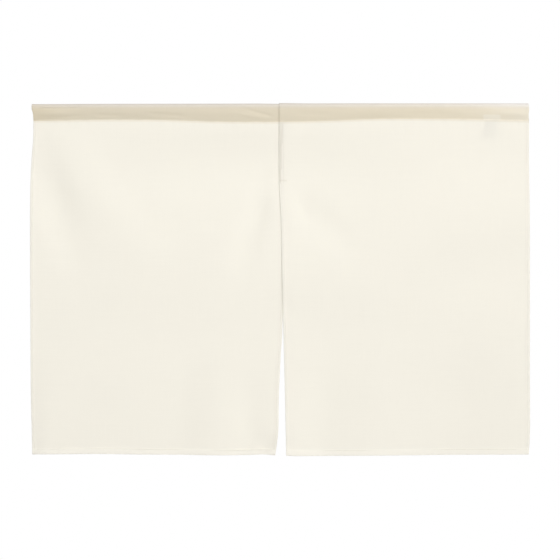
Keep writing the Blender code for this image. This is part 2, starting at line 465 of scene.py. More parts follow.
in_the_lap = DROP / 8
lap_gap = hang_left(0, in_the_lap) - hang_right(0, in_the_lap)
print("in the lap the cloths are", round(lap_gap / MM, 1), "mm apart")

# %% [markdown]
# ## The turn of a hem
#
# A hem is the cloth's own edge turned twice to the back, so that the raw edge is hidden inside.
# Seen from the end it is three layers joined by two small folds. The table leads the cloth from
# its raw edge, under the strip, round the inner fold, along the strip and round the outer fold to
# the face. The same turn serves the sides and the bottom.

# %% Hem
CLOTH_THICK = 0.30 * MM
LAYER = 0.34 * MM
SIDE_HEM = 5 * MM
BOTTOM_HEM = 10 * MM
LAYERS_IN_HEM = 3
HEM_PRESS = 0.12 * MM
HEM_STEP = 1.2 * MM

# How far in from the finished edge, as a share of the hem's width, and how many layers behind
# the face
Turn = namedtuple("Turn", "inset layer")

HEM_TURN = (
    Turn(0.12, 1.0), Turn(0.50, 1.0), Turn(0.88, 1.0), Turn(0.97, 1.14), Turn(1.00, 1.5),
    Turn(0.97, 1.86), Turn(0.88, 2.0), Turn(0.50, 2.0), Turn(0.07, 2.0), Turn(0.015, 1.7),
    Turn(0.00, 1.0), Turn(0.015, 0.3), Turn(0.05, 0.0),
)


def layer_depth(layer, stack):
    """How far behind the face a turned layer lies, where the cloth itself is stack layers deep."""
    if layer <= 1.0:
        return layer * stack * LAYER
    return (stack + (layer - 1.0) * (2 * stack - 1)) * LAYER


print("a plain hem is", round((layer_depth(2.0, 1) + CLOTH_THICK) / MM, 2), "mm thick")

# %% [markdown]
# ## The way of the cloth round the rod casing
#
# At the top the cloth goes up, over the rod's place and down the back, and is turned under and
# stitched. With no rod in it the casing keeps a soft drop-shaped hollow: a round crown, and two
# walls that meet at the stitches.

# %% Casing
CASING_HEIGHT = 29 * MM
TUNNEL_RADIUS = 6.0 * MM
WALL_BOW = 0.5 * MM
STITCH_UP = 1.8 * MM
UNDER_UPS = (8.0 * MM, 6.2 * MM, 4.4 * MM, 3.0 * MM, 1.8 * MM, 0.9 * MM, 0.2 * MM)
FOOT_UPS = (0.2 * MM, 0.9 * MM, 1.8 * MM)
FOOT_TURNS = 5
WALL_CELLS = 14
CROWN_CELLS = 18


def casing_line(height, stack):
    """The cloth's way as (down, depth), from its turned-under edge to the front stitches."""
    slope = math.asin(TUNNEL_RADIUS / (height - STITCH_UP - TUNNEL_RADIUS))
    touch_up = height - TUNNEL_RADIUS * (1.0 + math.sin(slope))
    touch_depth = TUNNEL_RADIUS * math.cos(slope)
    back_foot = layer_depth(2.0, stack)
    turn_radius = (back_foot - layer_depth(1.0, stack)) / 2

    def wall(up, foot):
        """A point of a wall this far above the foot, which lies at that depth."""
        share = max(up - STITCH_UP, 0.0) / (touch_up - STITCH_UP)
        return height - up, foot + (touch_depth - foot) * share + WALL_BOW * math.sin(math.pi * share)

    line = []
    for up in UNDER_UPS:
        down, depth = wall(up, back_foot)
        line.append((down, depth - 2 * turn_radius))
    for count in range(1, FOOT_TURNS):
        angle = math.pi * count / FOOT_TURNS
        depth = back_foot - turn_radius * (1.0 + math.cos(angle))
        line.append((height + turn_radius * math.sin(angle), depth))
    cell = (touch_up - STITCH_UP) / WALL_CELLS
    ups = FOOT_UPS + tuple(STITCH_UP + cell * (count + 1) for count in range(WALL_CELLS))
    line += [wall(up, back_foot) for up in ups]
    for count in range(1, CROWN_CELLS):
        angle = -slope + (math.pi + 2 * slope) * count / CROWN_CELLS
        line.append((TUNNEL_RADIUS * (1.0 - math.sin(angle)), TUNNEL_RADIUS * math.cos(angle)))
    for up in reversed(ups):
        down, depth = wall(up, 0.0)
        line.append((down, -depth))
    return line


CASING_POINTS = len(casing_line(CASING_HEIGHT, 1))
print("points on the way round the casing:", CASING_POINTS)

# %% [markdown]
# ## The stations of the grid
#
# The cloth's grid has columns across and rows down, close together in the hems and wider on the
# face. Each column knows how many layers lie over one another there, because the casing and the
# bottom hem turn over the side hems, and over both cloths where they lap.

# %% Stations
FACE_STEP = 3.6 * MM
FACE_SHORTER = 45 * MM
EDGE_STEPS = (1.5 * MM, 2.9 * MM, 4.3 * MM, 5.3 * MM, 6.8 * MM)
TOP_STEPS = (0.0, 0.8 * MM, 2.0 * MM, 3.8 * MM)
HEM_STEPS = (11.4 * MM, 10.0 * MM, 7.0 * MM, 4.0 * MM)
LAP_STACK = 6.0
STACK_FADE = 14 * MM

# A share of the way between the side edges, an inset from there in metres, the layer of the side
# hem, and the number of layers that lie over each other
Column = namedtuple("Column", "share inset layer stack")


def columns_across(width):
    """The grid's columns, from the left raw edge to the right one."""
    hem = [Column(0.0, turn.inset * SIDE_HEM, turn.layer, LAYERS_IN_HEM) for turn in HEM_TURN]
    for inset in EDGE_STEPS:
        in_hem = 1.0 - ease((inset - SIDE_HEM) / HEM_STEP)
        hem.append(Column(0.0, inset, 0.0, 1 + (LAYERS_IN_HEM - 1) * in_hem))
    mirrored = [Column(1.0, -column.inset, column.layer, column.stack) for column in reversed(hem)]
    cells = round((width - 2 * EDGE_STEPS[-1]) / FACE_STEP)
    middle = []
    for count in range(1, cells):
        share = count / cells
        middle.append(Column(share, EDGE_STEPS[-1] * (1.0 - 2.0 * share), 0.0, 1.0))
    return hem + middle + mirrored


def line_of_cloth(across, stack):
    """The cloth's whole way at one column as (down, depth), from top raw edge to bottom one."""
    height = line_down(STITCH_LINE, across)
    hem = line_down(HEM_LINE, across)
    in_lap = 1.0 - ease(from_lap(across) / STACK_FADE)
    dip = line_down(TOP_DIP, across)
    casing = casing_line(height, stack + (LAP_STACK - stack) * in_lap)
    line = [(down + dip * max(1.0 - down / height, 0.0), depth) for down, depth in casing]
    first, last = height + TOP_STEPS[-1], hem - HEM_STEPS[0]
    cells = round((DROP - FACE_SHORTER) / FACE_STEP)
    line += [(height + step, 0.0) for step in TOP_STEPS]
    line += [(first + (last - first) * count / cells, 0.0) for count in range(1, cells)]
    for step in HEM_STEPS:
        line.append((hem - step, -HEM_PRESS * (1.0 - ease((step - BOTTOM_HEM) / HEM_STEP))))
    for turn in reversed(HEM_TURN):
        line.append((hem - turn.inset * BOTTOM_HEM, layer_depth(turn.layer, stack) - HEM_PRESS))
    return line


ROWS = len(line_of_cloth(0.0, 1))
left_width = edge_across(SLIT_OF_LEFT, 0) - edge_across(OUTER_LEFT, 0)
print("grid of the left cloth:", len(columns_across(left_width)), "columns by", ROWS, "rows")

# %% [markdown]
# ## Creases of the casing
#
# The casing is handled whenever the rod goes in, so it is more rumpled than the panels: lengthwise
# creases near its ends, a slanting one left of the middle, and shallow swells all along. These
# folds are measured up along the cloth from the foot, so they can go over the crown.

# %% Casing folds
# As a fold, with the distance up along the cloth in place of the distance down
CASING_FOLDS = (
    # lengthwise creases at the left end
    Fold(-424, 25.5, -352, 26.0, 1.6, -0.45),
    Fold(-426, 21.0, -322, 21.5, 1.4, -0.80),
    Fold(-422, 12.5, -356, 12.0, 4.0, 0.80),
    Fold(-396, 5.0, -330, 8.5, 2.2, -0.45),
    Fold(-328, 10.0, -262, 7.0, 2.4, -0.65),
    # swells along the left half
    Fold(-290, 14.0, -190, 15.0, 6.0, 0.45),
    Fold(-238, 12.0, -150, 7.5, 2.6, -0.65),
    Fold(-150, 12.0, -60, 18.0, 6.0, 0.40),
    # the slanting crease left of the middle
    Fold(-68, 25.0, -4, 7.0, 2.2, -0.70),
    Fold(-84, 18.0, -20, 4.0, 2.4, 0.50),
    # the right half hangs smoother
    Fold(14, 16.0, 96, 11.0, 3.4, -0.35),
    Fold(90, 14.0, 200, 15.0, 6.0, 0.35),
    Fold(206, 8.0, 300, 11.0, 3.4, -0.40),
    Fold(262, 16.0, 330, 14.0, 5.0, 0.35),
    # creases at the right end
    Fold(344, 22.0, 410, 27.5, 2.0, -0.75),
    Fold(366, 12.0, 428, 12.5, 4.0, 0.90),
    # on the crown and the back
    Fold(-330, 44.0, -230, 50.0, 5.0, 0.50),
    Fold(-120, 48.0, -20, 42.0, 4.0, -0.45),
    Fold(60, 42.0, 180, 50.0, 5.0, 0.50),
    Fold(260, 50.0, 400, 44.0, 4.0, -0.50),
)
CASING_PINNED = 6 * MM
# How many times shorter than a casing fold each of its soft ends is
CASING_FOLD_ENDS = 3.0


def casing_swell(across, girth):
    """How far the casing's folds carry a point outwards, this far up from the front foot."""
    total = 0.0
    for fold in CASING_FOLDS:
        along = (across / MM - fold.start_across) / (fold.end_across - fold.start_across)
        if not 0.0 < along < 1.0:
            continue
        line_up = fold.start_down + (fold.end_down - fold.start_down) * along
        crest = crest_at(fold, abs(girth / MM - line_up))
        start, end = ease(along * CASING_FOLD_ENDS), ease((1.0 - along) * CASING_FOLD_ENDS)
        total += fold.rise * crest * start * end
    return total * MM * ease(girth / CASING_PINNED)


print("casing folds:", len(CASING_FOLDS))

# %% [markdown]
# ## Gathers beside the stitches
#
# Sewing draws the cloth up a little, so small uneven gathers stand beside each row of stitches and
# die out within a finger's width. A sum of three waves whose lengths share no common step doesn't
# repeat anywhere on the cloth, so the gathers look chance-made and yet come out the same each time.

# %% Gathers
GATHER = 0.07 * MM
GATHER_REACH = 16 * MM
# The length of a wave in metres, where it starts, and its share of the height
GATHER_WAVES = ((11.3 * MM, 0.4, 1.0), (17.9 * MM, 2.1, 0.8), (30.7 * MM, 4.4, 0.9))


def gather(along, away):
    """How far a gather carries the cloth forward, along a row of stitches and away from it."""
    if not 0.0 <= away < GATHER_REACH:
        return 0.0
    wave = 0.0
    for length, start, part in GATHER_WAVES:
        wave += part * math.sin(math.tau * along / length + start)
    return GATHER * wave * (1.0 - ease(away / GATHER_REACH))


print("tallest gather:", round(GATHER * sum(part for _, _, part in GATHER_WAVES) / MM, 2), "mm")

# %% [markdown]
# ## From the grid to the cloth
#
# The flat grid comes from one operator, and each of its points is then led to its place. The
# direction to the wrong side is the cloth's way turned by a quarter, and the layers of a side hem
# are set off in that direction, whichever way the cloth faces there. Each point also keeps how far
# it lies from the raw edges on the flat cloth. That becomes the UV map, in metres, so a weave that
# reads it follows the cloth round every fold.

# %% Cloth maker
# A cloth's two side edges, its depth, and which way it is set off in the lap: -1 is to the front
Cloth = namedtuple("Cloth", "name left_side right_side hang lap_side")

LEFT_CLOTH = Cloth("cloth_left", OUTER_LEFT, SLIT_OF_LEFT, hang_left, 1)
RIGHT_CLOTH = Cloth("cloth_right", SLIT_OF_RIGHT, OUTER_RIGHT, hang_right, -1)

# One column on its way: where it is across, its points, the wrong side's direction at each, and
# how far each is from the raw edge along the cloth
Way = namedtuple("Way", "across line wrong_sides travelled")


def way_of_column(across, stack):
    """Work out one column's way."""
    line = line_of_cloth(across, stack)
    travelled = [0.0]
    for before, after in zip(line, line[1:]):
        travelled.append(travelled[-1] + math.dist(before, after))
    wrong_sides = []
    for index in range(len(line)):
        before, after = line[max(index - 1, 0)], line[min(index + 1, len(line) - 1)]
        run_down, run_depth = after[0] - before[0], after[1] - before[1]
        length = math.hypot(run_down, run_depth)
        wrong_sides.append((-run_depth / length, run_down / length))
    return Way(across, line, wrong_sides, travelled)


def place_point(cloth, column, way, row):
    """Where one point of the grid comes to lie."""
    down, depth = way.line[row]
    off_down, off_depth = way.wrong_sides[row]
    pressed = HEM_PRESS * (column.stack - 1) / (LAYERS_IN_HEM - 1)
    offset = column.layer * LAYER - pressed
    if row < CASING_POINTS:
        in_lap = 1.0 - ease(from_lap(way.across) / LAP_FADE)
        girth = way.travelled[CASING_POINTS] - way.travelled[row]
        offset += cloth.lap_side * LAP_SET * in_lap - casing_swell(way.across, girth)
    else:
        height = line_down(STITCH_LINE, way.across)
        forward = gather(way.across, down - height)
        forward += gather(down, abs(column.inset) if column.share in (0.0, 1.0) else GATHER_REACH)
        depth += cloth.hang(way.across, down) - forward
    left, right = edge_across(cloth.left_side, down), edge_across(cloth.right_side, down)
    across = left + (right - left) * column.share + column.inset
    return Vector((across, depth + off_depth * offset, -down - off_down * offset))


def grid_place(point, columns):
    """The column and row of a point of the flat grid."""
    return round((point.co.x + 0.5) * (columns - 1)), round((0.5 - point.co.y) * (ROWS - 1))


def lead_cloth(cloth):
    """Make the flat grid and lead it round the casing, down the face and round the hems."""
    start, end = edge_across(cloth.left_side, 0), edge_across(cloth.right_side, 0)
    columns = columns_across(end - start)
    ways = [way_of_column(start + (end - start) * c.share + c.inset, c.stack) for c in columns]
    flat_across = [0.0]
    for index in range(1, len(columns)):
        sideways = ways[index].across - ways[index - 1].across
        backwards = (columns[index].layer - columns[index - 1].layer) * LAYER
        flat_across.append(flat_across[-1] + math.hypot(sideways, backwards))
    grid = bmesh.new()
    bmesh.ops.create_grid(grid, x_segments=len(columns) - 1, y_segments=ROWS - 1, size=0.5)
    flat_map = grid.loops.layers.uv.new("flat_cloth")
    for face in grid.faces:
        for corner in face.loops:
            number, row = grid_place(corner.vert, len(columns))
            corner[flat_map].uv = (flat_across[number], -ways[number].travelled[row])
    # Masks of painted light and shade, read by the material
    layers = grid.verts.layers.float.new("layers")
    tone = grid.verts.layers.float.new("tone")
    crown = grid.verts.layers.float.new("crown")
    for point in grid.verts:
        number, row = grid_place(point, len(columns))
        column, way = columns[number], ways[number]
        down = way.line[row][0]
        point[layers] = layered_shade_at(cloth, column, row, way.across, down)
        point[tone] = painted_light_and_shade_at(cloth, column, row, way.across, down)
        point[crown] = crown_light_at(row, down)
        point.co = place_point(cloth, column, way, row)
    return grid, flat_across[-1], max(way.travelled[-1] for way in ways)


print("a column of the face is", round(way_of_column(0.2, 1).travelled[-1] / MM), "mm of cloth")

# %% [markdown]
# ## Where light and shade are painted on the cloth
#
# Ivory cloth this light lets some light through, so a single layer looks pale and several layers
# look beige. Three masks are kept on the points for the material, and they paint light and shade.
# One says how strongly a place takes the painted shade of layered cloth: the casing, the lapped
# strip of the seam, and a painted shadow in the rows just under the casing, with less shade in
# front of the label's top. One sets the tone: the hems are set lighter, the casing gets painted
# shade at its left end and painted light on its right part, and the lapped strip of the seam gets
# more painted shade. The last one marks the crown of the casing for a greyer, cooler tint: painted
# light where the top of the fold faces up.

# %% Masks
# Painted shade on the lapped strip of the seam
SEAM_LAYERED_SHADE = 0.12
SEAM_PAINTED_SHADE = 0.965
SEAM_STRIP_IN = 1.2 * MM
SEAM_STRIP = 7.0 * MM
SEAM_NARROWS = 3.2 * MM
SEAM_END_FADE = 6 * MM
# Painted shadow in the first rows under the casing
FOOT_PAINTED_SHADE = 0.24
FOOT_ROWS = 3
# Less painted shade on the casing front over the label's top
LABEL_END_LESS_SHADE = 0.62
LABEL_END_UP = 9 * MM
LABEL_END_FROM = 347
LABEL_END_TO = 374
BOTTOM_HEM_TONE = 1.082
SIDE_HEM_TONE = 1.045
# Where the crown's painted light tint reaches
CROWN_TOP = 2 * MM
CROWN_FADE = 9 * MM

# The place across in millimetres, how strongly the casing takes the painted shade of layers there, and
# its painted tone
Tone = namedtuple("Tone", "across layers tone")

CASING_PAINTED_SHADING = (
    # the left end, which is the most rumpled and gets the most painted shade
    Tone(-430, 0.85, 1.0), Tone(-350, 0.70, 1.0),
    # the middle, where the two cloths lap
    Tone(0, 0.68, 1.03),
    # the smoother right part and its end, with the least painted shade and some painted light
    Tone(300, 0.65, 1.1), Tone(430, 0.4, 1.1),
)
CASING_LAYERED_SHADE = tuple((tone.across, tone.layers) for tone in CASING_PAINTED_SHADING)
CASING_PAINTED_LIGHT = tuple((tone.across, tone.tone) for tone in CASING_PAINTED_SHADING)


def in_seam(cloth, column, down):
    """1 on the lapped strip of the seam, 0 off it."""
    strip = SEAM_STRIP - SEAM_NARROWS * down / SEAM_LENGTH
    if cloth is LEFT_CLOTH or column.share > 0.0 or not SEAM_STRIP_IN < column.inset < strip:
        return 0.0
    return 1.0 - ease((down - SEAM_LENGTH) / SEAM_END_FADE)


def layered_shade_at(cloth, column, row, across, down):
    """How much painted shade of layered cloth a point gets: 1 as several layers, 0 as one."""
    if row < CASING_POINTS:
        layers = read_curve(CASING_LAYERED_SHADE, across / MM) / MM
        # Less painted shade on the casing's front where the label's top lies inside it
        over_label = LABEL_END_FROM < across / MM < LABEL_END_TO
        in_front = row > CASING_POINTS / 2 and down > line_down(STITCH_LINE, across) - LABEL_END_UP
        return layers * (LABEL_END_LESS_SHADE if over_label and in_front else 1.0)
    # Painted shadow just under the casing, and painted shade on the lapped strip of the seam
    foot = FOOT_PAINTED_SHADE if row < CASING_POINTS + FOOT_ROWS else 0.0
    return max(foot, SEAM_LAYERED_SHADE * in_seam(cloth, column, down))


def painted_light_and_shade_at(cloth, column, row, across, down):
    """How light the cloth is painted at a point, where 1 is its own tone."""
    if row < CASING_POINTS:
        # Painted light and shade along the casing
        return read_curve(CASING_PAINTED_LIGHT, across / MM) / MM
    if row >= ROWS - len(HEM_TURN) - len(HEM_STEPS) + 1:
        return BOTTOM_HEM_TONE
    in_hem = (column.stack - 1) / (LAYERS_IN_HEM - 1)
    plain = 1.0 + (SIDE_HEM_TONE - 1.0) * in_hem
    # Painted shade on the lapped strip of the seam
    return plain + (SEAM_PAINTED_SHADE - plain) * in_seam(cloth, column, down)


def crown_light_at(row, down):
    """The crown's painted light tint: 1 on top of the casing, fading to 0 on its walls."""
    return 1.0 - ease((down - CROWN_TOP) / CROWN_FADE) if row < CASING_POINTS else 0.0


print("the seam strip is", round(SEAM_STRIP / MM, 1), "mm wide")

# %% [markdown]
# ## The weave
#
# Plain weave is the simplest there is: each yarn goes over one and under the next. Two crossed
# waves give that relief, and a slow noise makes some yarns thicker than others, as in real cloth.
# It is a node group because the cloth and the thread both use it, each with its own numbers.

# %% Weave group
# How finely the noise is cut along the warp and along the weft, for the streaks of each
WARP_STREAKS = (900.0, 14.0, 1.0)
WEFT_STREAKS = (11.0, 800.0, 1.0)
STREAK_DETAIL = 3.0
STREAK_ROUGH = 0.6
CROSSING_SHARE = 0.5


def add_node(tree, kind, **settings):
    """Add a node and set its plain properties."""
    node = tree.nodes.new(kind)
    for name, value in settings.items():
        setattr(node, name, value)
    return node


def maths(tree, operation, first, second=None):
    """A Math node whose inputs are numbers or other nodes' outputs."""
    node = add_node(tree, "ShaderNodeMath", operation=operation)
    for socket, value in zip(node.inputs, (first, second)):
        if isinstance(value, (int, float)):
            socket.default_value = value
        elif value is not None:
            tree.links.new(value, socket)
    return node.outputs[0]


def yarn_streaks(tree, flat, stretch_by):
    """A noise that is long along the yarns of one direction, so each yarn has its own tone."""
    stretch = add_node(tree, "ShaderNodeMapping")
    stretch.inputs["Scale"].default_value = stretch_by
    tree.links.new(flat, stretch.inputs["Vector"])
    noise = add_node(tree, "ShaderNodeTexNoise", noise_dimensions="2D")
    noise.inputs["Scale"].default_value = 1.0
    noise.inputs["Detail"].default_value = STREAK_DETAIL
    noise.inputs["Roughness"].default_value = STREAK_ROUGH
    tree.links.new(stretch.outputs[0], noise.inputs["Vector"])
    return noise.outputs["Fac"]


def make_weave_group():
    """Plain weave: from a place on the flat cloth, in metres, to a height and a tone."""
    group = bpy.data.node_groups.new("plain_weave", "ShaderNodeTree")
    face = group.interface
    face.new_socket("Flat Place", in_out="INPUT", socket_type="NodeSocketVector")
    for name in ("Yarns per Metre", "Unevenness"):
        face.new_socket(name, in_out="INPUT", socket_type="NodeSocketFloat")
    for name in ("Height", "Tone"):
        face.new_socket(name, in_out="OUTPUT", socket_type="NodeSocketFloat")
    given = group.nodes.new("NodeGroupInput")
    result = group.nodes.new("NodeGroupOutput")
    parts = add_node(group, "ShaderNodeSeparateXYZ")
    group.links.new(given.outputs["Flat Place"], parts.inputs[0])
    turns = maths(group, "MULTIPLY", given.outputs["Yarns per Metre"], math.pi)
    warp = maths(group, "SINE", maths(group, "MULTIPLY", parts.outputs["X"], turns))
    weft = maths(group, "SINE", maths(group, "MULTIPLY", parts.outputs["Y"], turns))
    crossing = maths(group, "MULTIPLY", warp, weft)
    flat = given.outputs["Flat Place"]
    warp_streak = yarn_streaks(group, flat, WARP_STREAKS)
    weft_streak = yarn_streaks(group, flat, WEFT_STREAKS)
    streaks = maths(group, "SUBTRACT", maths(group, "ADD", warp_streak, weft_streak), 1.0)
    uneven = maths(group, "MULTIPLY", streaks, given.outputs["Unevenness"])
    height = maths(group, "ADD", maths(group, "MULTIPLY", crossing, CROSSING_SHARE), uneven)
    group.links.new(height, result.inputs["Height"])
    group.links.new(maths(group, "ADD", 1.0, uneven), result.inputs["Tone"])
    return group


weave_group = make_weave_group()
print("weave group nodes:", len(weave_group.nodes))

# %% [markdown]
# ## Ivory cloth
#
# The cloth is matt, with a soft glow where light comes through it, so a Translucent shader is
# mixed with the Principled one. The masks paint light and shade: they carry the colour from ivory
# to beige as the painted shade of layered cloth, set its painted tone, and give the crown a painted
# light tint. A slow cloudy noise keeps large areas from looking printed.

# %% Cloth material
IVORY = (0.900, 0.872, 0.792)
# Painted shade: the beige of layered cloth, where less light comes through
LAYERED_SHADE_BEIGE = (0.7545, 0.6635, 0.486)
UNTINTED = (1.0, 1.0, 1.0)
# A painted light tint for the crown, where it faces up
CROWN_LIGHT_TINT = (0.960, 0.985, 1.105)
YARNS_PER_METRE = 1900.0
CLOTH_UNEVEN = 0.025
CLOUDS_PER_METRE = 9.0
CLOUD_DETAIL = 3.0
CLOUD_TONES = (0.992, 1.008)
CLOTH_ROUGHNESS = (0.86, 0.94)
CLOTH_SHINE = 0.25
CLOTH_SHEEN = 0.06
WEAVE_STRENGTH = 0.35
WEAVE_DEPTH = 0.06 * MM
LET_THROUGH = 0.20


def start_material(name):
    """A new material, its node tree and its shader."""
    material = bpy.data.materials.new(name)
    material.use_nodes = True
    return material, material.node_tree, material.node_tree.nodes["Principled BSDF"]


def add_relief(tree, height, strength, distance):
    """A bump from a height, as a normal."""
    relief = add_node(tree, "ShaderNodeBump")
    relief.inputs["Strength"].default_value = strength
    relief.inputs["Distance"].default_value = distance
    tree.links.new(height, relief.inputs["Height"])
    return relief.outputs[0]


def mix_colour(tree, mask, first, second, blend="MIX"):
    """Mix two colours, each a triple or an output, by a mask."""
    node = add_node(tree, "ShaderNodeMix", data_type="RGBA", blend_type=blend)
    for socket, value in zip((node.inputs[0], node.inputs[6], node.inputs[7]), (mask, first, second)):
        if isinstance(value, tuple):
            socket.default_value = (*value, 1.0)
        elif isinstance(value, (int, float)):
            socket.default_value = value
        else:
            tree.links.new(value, socket)
    return node.outputs[2]


def read_mask(tree, name):
    """One of the masks kept on the cloth's points."""
    return add_node(tree, "ShaderNodeAttribute", attribute_name=name).outputs["Fac"]


def to_range(tree, value, low, high):
    """Spread a 0 to 1 value between two numbers."""
    node = add_node(tree, "ShaderNodeMapRange")
    node.inputs["To Min"].default_value = low
    node.inputs["To Max"].default_value = high
    tree.links.new(value, node.inputs["Value"])
    return node.outputs[0]


def make_cloth_material(weave):
    """Ivory plain weave, painted beige as shade where it lies in layers."""
    material, tree, shader = start_material("ivory_cloth")
    flat = add_node(tree, "ShaderNodeUVMap", uv_map="flat_cloth").outputs[0]
    woven = add_node(tree, "ShaderNodeGroup", node_tree=weave)
    woven.inputs["Yarns per Metre"].default_value = YARNS_PER_METRE
    woven.inputs["Unevenness"].default_value = CLOTH_UNEVEN
    tree.links.new(flat, woven.inputs["Flat Place"])
    clouds = add_node(tree, "ShaderNodeTexNoise", noise_dimensions="2D")
    clouds.inputs["Scale"].default_value = CLOUDS_PER_METRE
    clouds.inputs["Detail"].default_value = CLOUD_DETAIL
    tree.links.new(flat, clouds.inputs["Vector"])
    # Painted shade: beige where the cloth lies in layers
    layered_shade = read_mask(tree, "layers")
    colour = mix_colour(tree, layered_shade, IVORY, LAYERED_SHADE_BEIGE)
    cloudy = to_range(tree, clouds.outputs["Fac"], *CLOUD_TONES)
    tone = maths(tree, "MULTIPLY", woven.outputs["Tone"], cloudy)
    # Painted light and shade from the tone mask
    tone = maths(tree, "MULTIPLY", tone, read_mask(tree, "tone"))
    grey = add_node(tree, "ShaderNodeCombineColor")
    for socket in grey.inputs:
        tree.links.new(tone, socket)
    colour = mix_colour(tree, 1.0, colour, grey.outputs[0], "MULTIPLY")
    # Painted light: the crown's greyer, cooler tint
    tint = mix_colour(tree, read_mask(tree, "crown"), UNTINTED, CROWN_LIGHT_TINT)
    colour = mix_colour(tree, 1.0, colour, tint, "MULTIPLY")
    tree.links.new(colour, shader.inputs["Base Color"])
    rough = to_range(tree, woven.outputs["Height"], *CLOTH_ROUGHNESS)
    tree.links.new(rough, shader.inputs["Roughness"])
    shader.inputs["Specular IOR Level"].default_value = CLOTH_SHINE
    shader.inputs["Sheen Weight"].default_value = CLOTH_SHEEN
    relief = add_relief(tree, woven.outputs["Height"], WEAVE_STRENGTH, WEAVE_DEPTH)
    tree.links.new(relief, shader.inputs["Normal"])
    glow = add_node(tree, "ShaderNodeBsdfTranslucent")
    tree.links.new(colour, glow.inputs["Color"])
    tree.links.new(relief, glow.inputs["Normal"])
    both = add_node(tree, "ShaderNodeMixShader")
    both.inputs[0].default_value = LET_THROUGH
    tree.links.new(shader.outputs[0], both.inputs[1])
    tree.links.new(glow.outputs[0], both.inputs[2])
    tree.links.new(both.outputs[0], tree.nodes["Material Output"].inputs["Surface"])
    return material


ivory_cloth = make_cloth_material(weave_group)
print("cloth material nodes:", len(ivory_cloth.node_tree.nodes))

# %% [markdown]
# ## The two cloths
#
# The led grid becomes a mesh, and a Solidify modifier gives it the cloth's real thickness to both
# sides of the middle.

# %% Make the cloths
def finish_mesh(name, shape, material, thickness=0.0):
    """Turn a bmesh into a smooth piece, with a thickness if it is a sheet."""
    mesh = bpy.data.meshes.new(name)
    shape.to_mesh(mesh)
    shape.free()
    mesh.shade_smooth()
    mesh.materials.append(material)
    piece = bpy.data.objects.new(name, mesh)
    bpy.context.scene.collection.objects.link(piece)
    if thickness:
        wall = piece.modifiers.new("thickness", "SOLIDIFY")
        wall.thickness = thickness
        wall.offset = 0.0
        wall.use_rim = True
    return piece


def make_cloth(cloth, material):
    """One cut cloth, and the size that it was cut to."""
    grid, cut_width, cut_length = lead_cloth(cloth)
    piece = finish_mesh(cloth.name, grid, material, CLOTH_THICK)
    print(cloth.name, "was cut", round(cut_width, 3), "by", round(cut_length, 3), "m")
    return piece, (cut_width, cut_length)


cloth_left, left_cut = make_cloth(LEFT_CLOTH, ivory_cloth)
cloth_right, right_cut = make_cloth(RIGHT_CLOTH, ivory_cloth)

# %% [markdown]
# ## The care label
#
# A blank strip of white satin tape is caught, a little gathered, under the foot of the casing and
# hangs behind the right cloth. It shows through the cloth as a faint grey patch, because it keeps
# the light from behind away, and its satin is painted greyer than white, as painted shade that
# deepens that patch. Its lower end curls to the back.

# %% Label
LABEL_TOP_AT = 361 * MM
LABEL_SLANT = 6 * MM
LABEL_WIDTH = 29 * MM
LABEL_GATHERED = 0.72
LABEL_DROP = 33 * MM
LABEL_TUCK = 3 * MM
LABEL_THICK = 0.18 * MM
LABEL_CURL = 2.5 * MM
LABEL_BEHIND = 0.55 * MM
LABEL_WAVE = 0.35 * MM
LABEL_COLUMNS = 20
LABEL_ROWS = 24
LABEL_SPREADS = 1.4
LABEL_WAVES_ACROSS = 0.8
LABEL_WAVES_DOWN = 0.6
# Greyer than white satin: painted shade for the patch seen through the cloth
SATIN_WITH_PAINTED_SHADE = (0.76, 0.755, 0.74)
SATIN_SHADE = 0.97
SATIN_ROUGHNESS = (0.38, 0.50)
RIB_SCALE = 700.0
RIB_BEND = 0.6
RIB_STRENGTH = 0.3
RIB_DEPTH = 0.03 * MM


def make_label_material():
    """White satin tape, painted greyer as shade, with a fine cross rib."""
    material, tree, shader = start_material("satin_tape")
    flat = add_node(tree, "ShaderNodeUVMap", uv_map="flat_cloth").outputs[0]
    ribs = add_node(tree, "ShaderNodeTexWave", wave_type="BANDS", bands_direction="Y")
    ribs.inputs["Scale"].default_value = RIB_SCALE
    ribs.inputs["Distortion"].default_value = RIB_BEND
    tree.links.new(flat, ribs.inputs["Vector"])
    rib = ribs.outputs["Fac"]
    shade = tuple(part * SATIN_SHADE for part in SATIN_WITH_PAINTED_SHADE)
    tree.links.new(mix_colour(tree, rib, shade, SATIN_WITH_PAINTED_SHADE), shader.inputs["Base Color"])
    tree.links.new(to_range(tree, rib, *SATIN_ROUGHNESS), shader.inputs["Roughness"])
    tree.links.new(add_relief(tree, rib, RIB_STRENGTH, RIB_DEPTH), shader.inputs["Normal"])
    return material


def make_label(material):
    """The blank label, from its tucked-in top to its free end."""
    tape = bmesh.new()
    bmesh.ops.create_grid(tape, x_segments=LABEL_COLUMNS, y_segments=LABEL_ROWS, size=0.5)
    flat_map = tape.loops.layers.uv.new("flat_cloth")
    for face in tape.faces:
        for corner in face.loops:
            place = corner.vert.co
            corner[flat_map].uv = (place.x * LABEL_WIDTH, place.y * (LABEL_DROP + LABEL_TUCK))
    for point in tape.verts:
        u, v = point.co.x, 0.5 - point.co.y
        below = (LABEL_DROP + LABEL_TUCK) * v - LABEL_TUCK
        share = max(below, 0.0) / LABEL_DROP
        spread = LABEL_GATHERED + (1.0 - LABEL_GATHERED) * ease(share * LABEL_SPREADS)
        across = LABEL_TOP_AT + LABEL_WIDTH * spread * u - LABEL_SLANT * share
        down = line_down(STITCH_LINE, across) + below
        turns = LABEL_WAVES_ACROSS * u + LABEL_WAVES_DOWN * share
        wave = LABEL_WAVE * share * math.sin(math.tau * turns)
        depth = hang_right(across, down) + LABEL_BEHIND + LABEL_CURL * share**2 + wave
        point.co = (across, depth, -down)
    return finish_mesh("care_label_tape", tape, material, LABEL_THICK)


